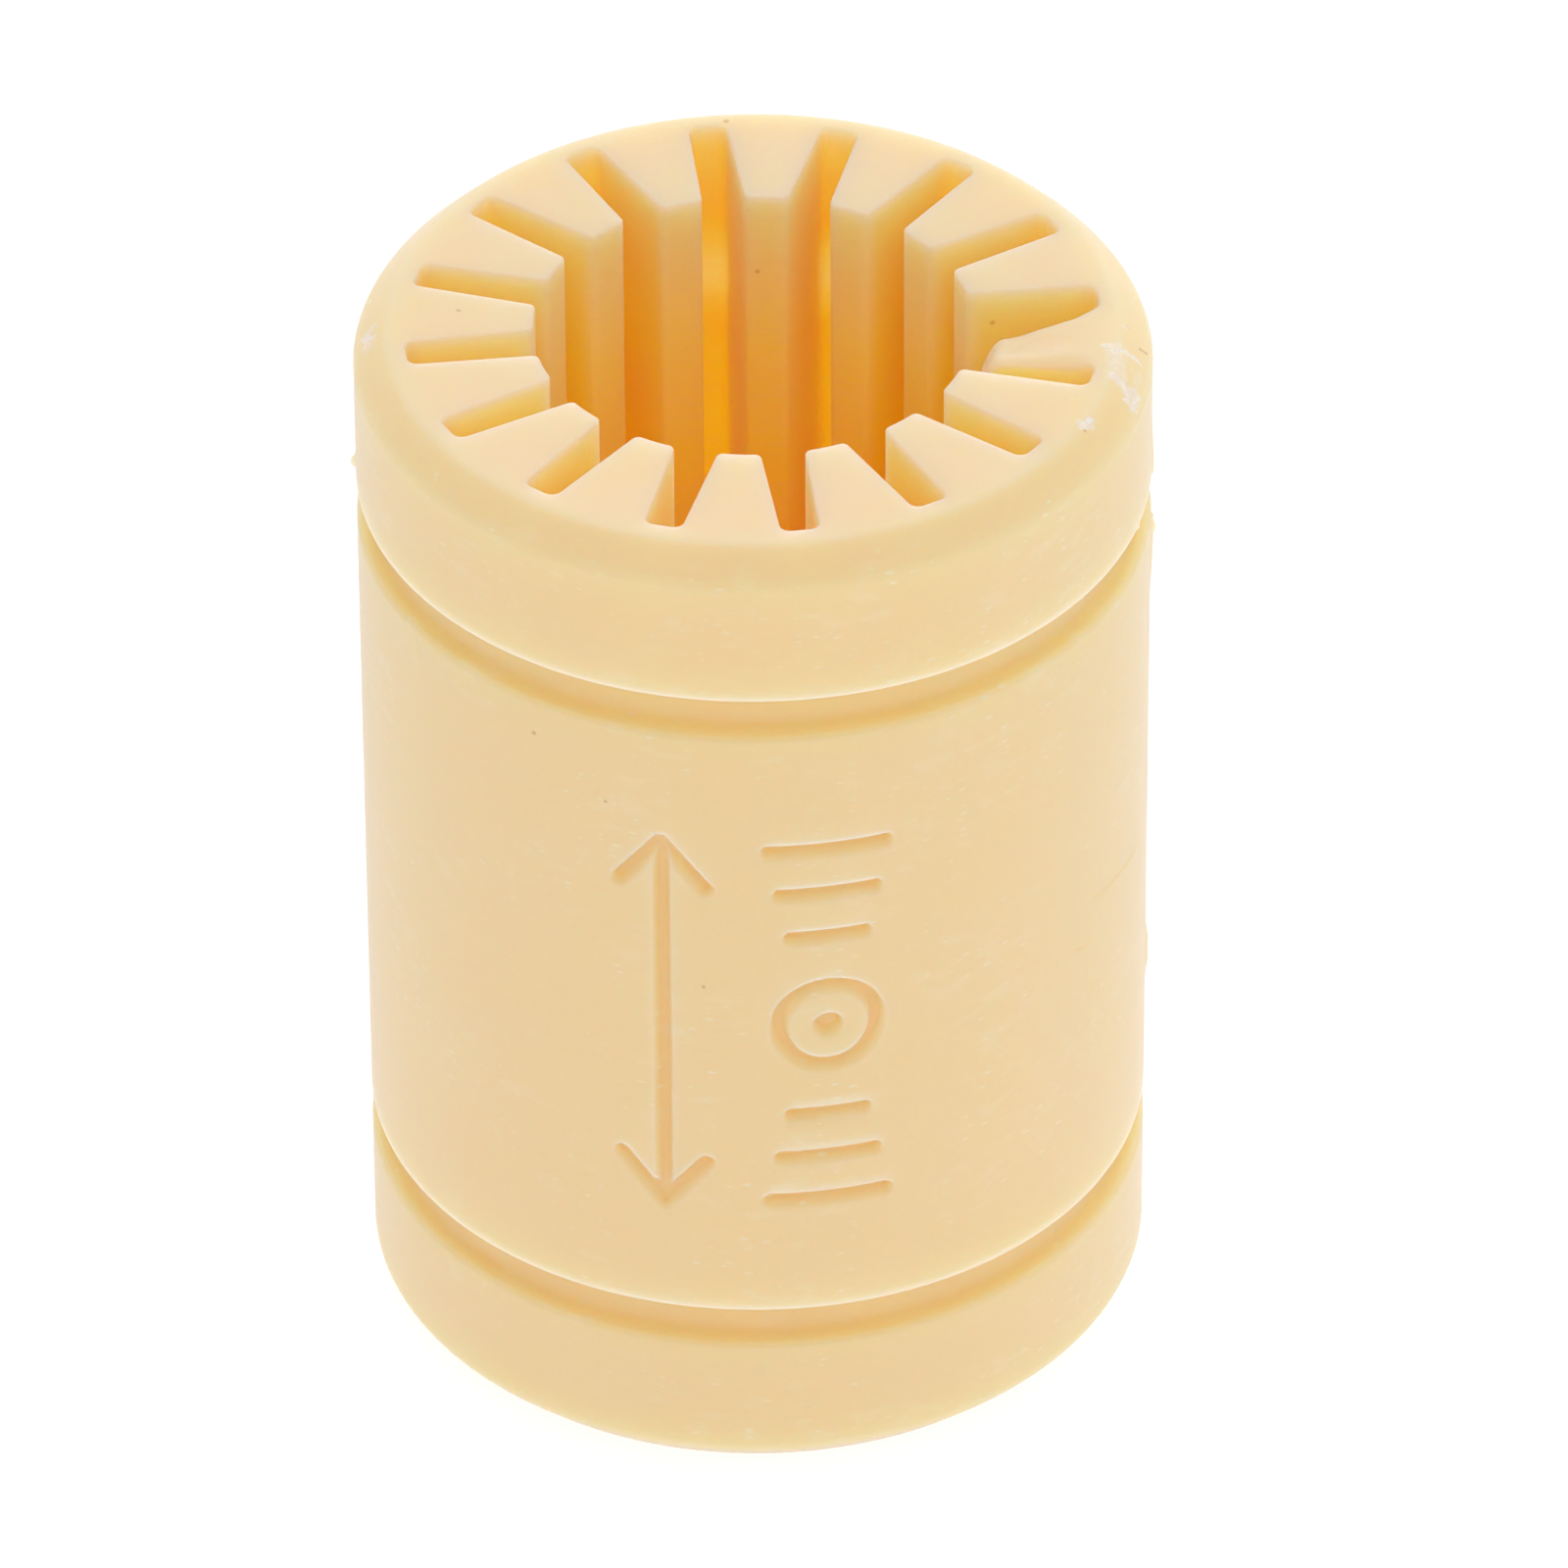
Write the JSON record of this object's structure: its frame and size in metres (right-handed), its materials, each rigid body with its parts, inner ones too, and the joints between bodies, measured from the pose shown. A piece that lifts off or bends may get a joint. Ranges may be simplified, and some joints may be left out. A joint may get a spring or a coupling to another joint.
{
  "type": "plain linear bushing",
  "caption": "Solid polymer plain linear bushing: slotted bore for a round shaft, chamfered ends, and retaining-ring grooves round the outside.",
  "frame": {"origin": "on the bore axis, in the plane of the lower end face", "axes": "+Z along the bore axis, from the lower end face to the upper one; -Y towards the middle of the land nearest the outside marks"},
  "size_m": [0.022, 0.022, 0.032],
  "materials": {
    "polymer": "cream-yellow, slightly translucent moulded bearing polymer with a satin skin"
  },
  "bodies": {
    "root": {"bushing_sleeve": "polymer"}
  },
  "joints": []
}
